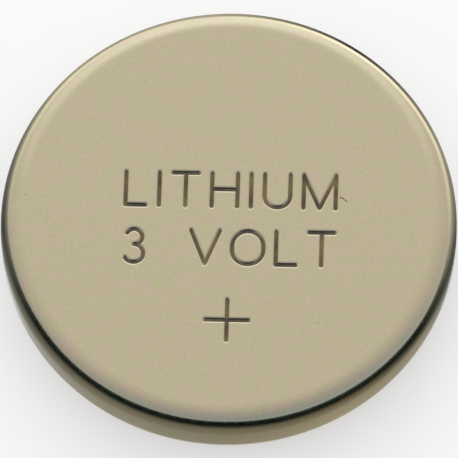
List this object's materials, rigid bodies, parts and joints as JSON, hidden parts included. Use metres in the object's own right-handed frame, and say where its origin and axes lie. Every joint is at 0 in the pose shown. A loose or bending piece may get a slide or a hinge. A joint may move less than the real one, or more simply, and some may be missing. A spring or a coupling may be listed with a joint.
{
  "type": "lithium coin cell",
  "caption": "Round crimped lithium coin cell: a flat positive can with a rounded edge, a sealing gasket and a raised negative cap, with electrode discs inside.",
  "frame": {"origin": "centre of the negative face, on the cell's axis", "axes": "+Z along the cell's axis, from the negative face to the positive face; +X along the lines of marks on the positive face"},
  "size_m": [0.02, 0.02, 0.0032],
  "materials": {
    "can_steel": "satin nickel plate, warm",
    "cap_steel": "fine brushed",
    "gasket_polymer": "natural moulded",
    "lithium_foil": "dull rolled",
    "separator_fleece": "non-woven",
    "cathode_powder": "pressed powder",
    "grid_steel": "expanded sheet"
  },
  "bodies": {
    "root": {"positive_can": "can_steel", "sealing_gasket": "gasket_polymer", "negative_cap": "cap_steel", "lithium_disc": "lithium_foil", "separator": "separator_fleece", "cathode_pellet": "cathode_powder", "collector_grid": "grid_steel"}
  },
  "joints": []
}
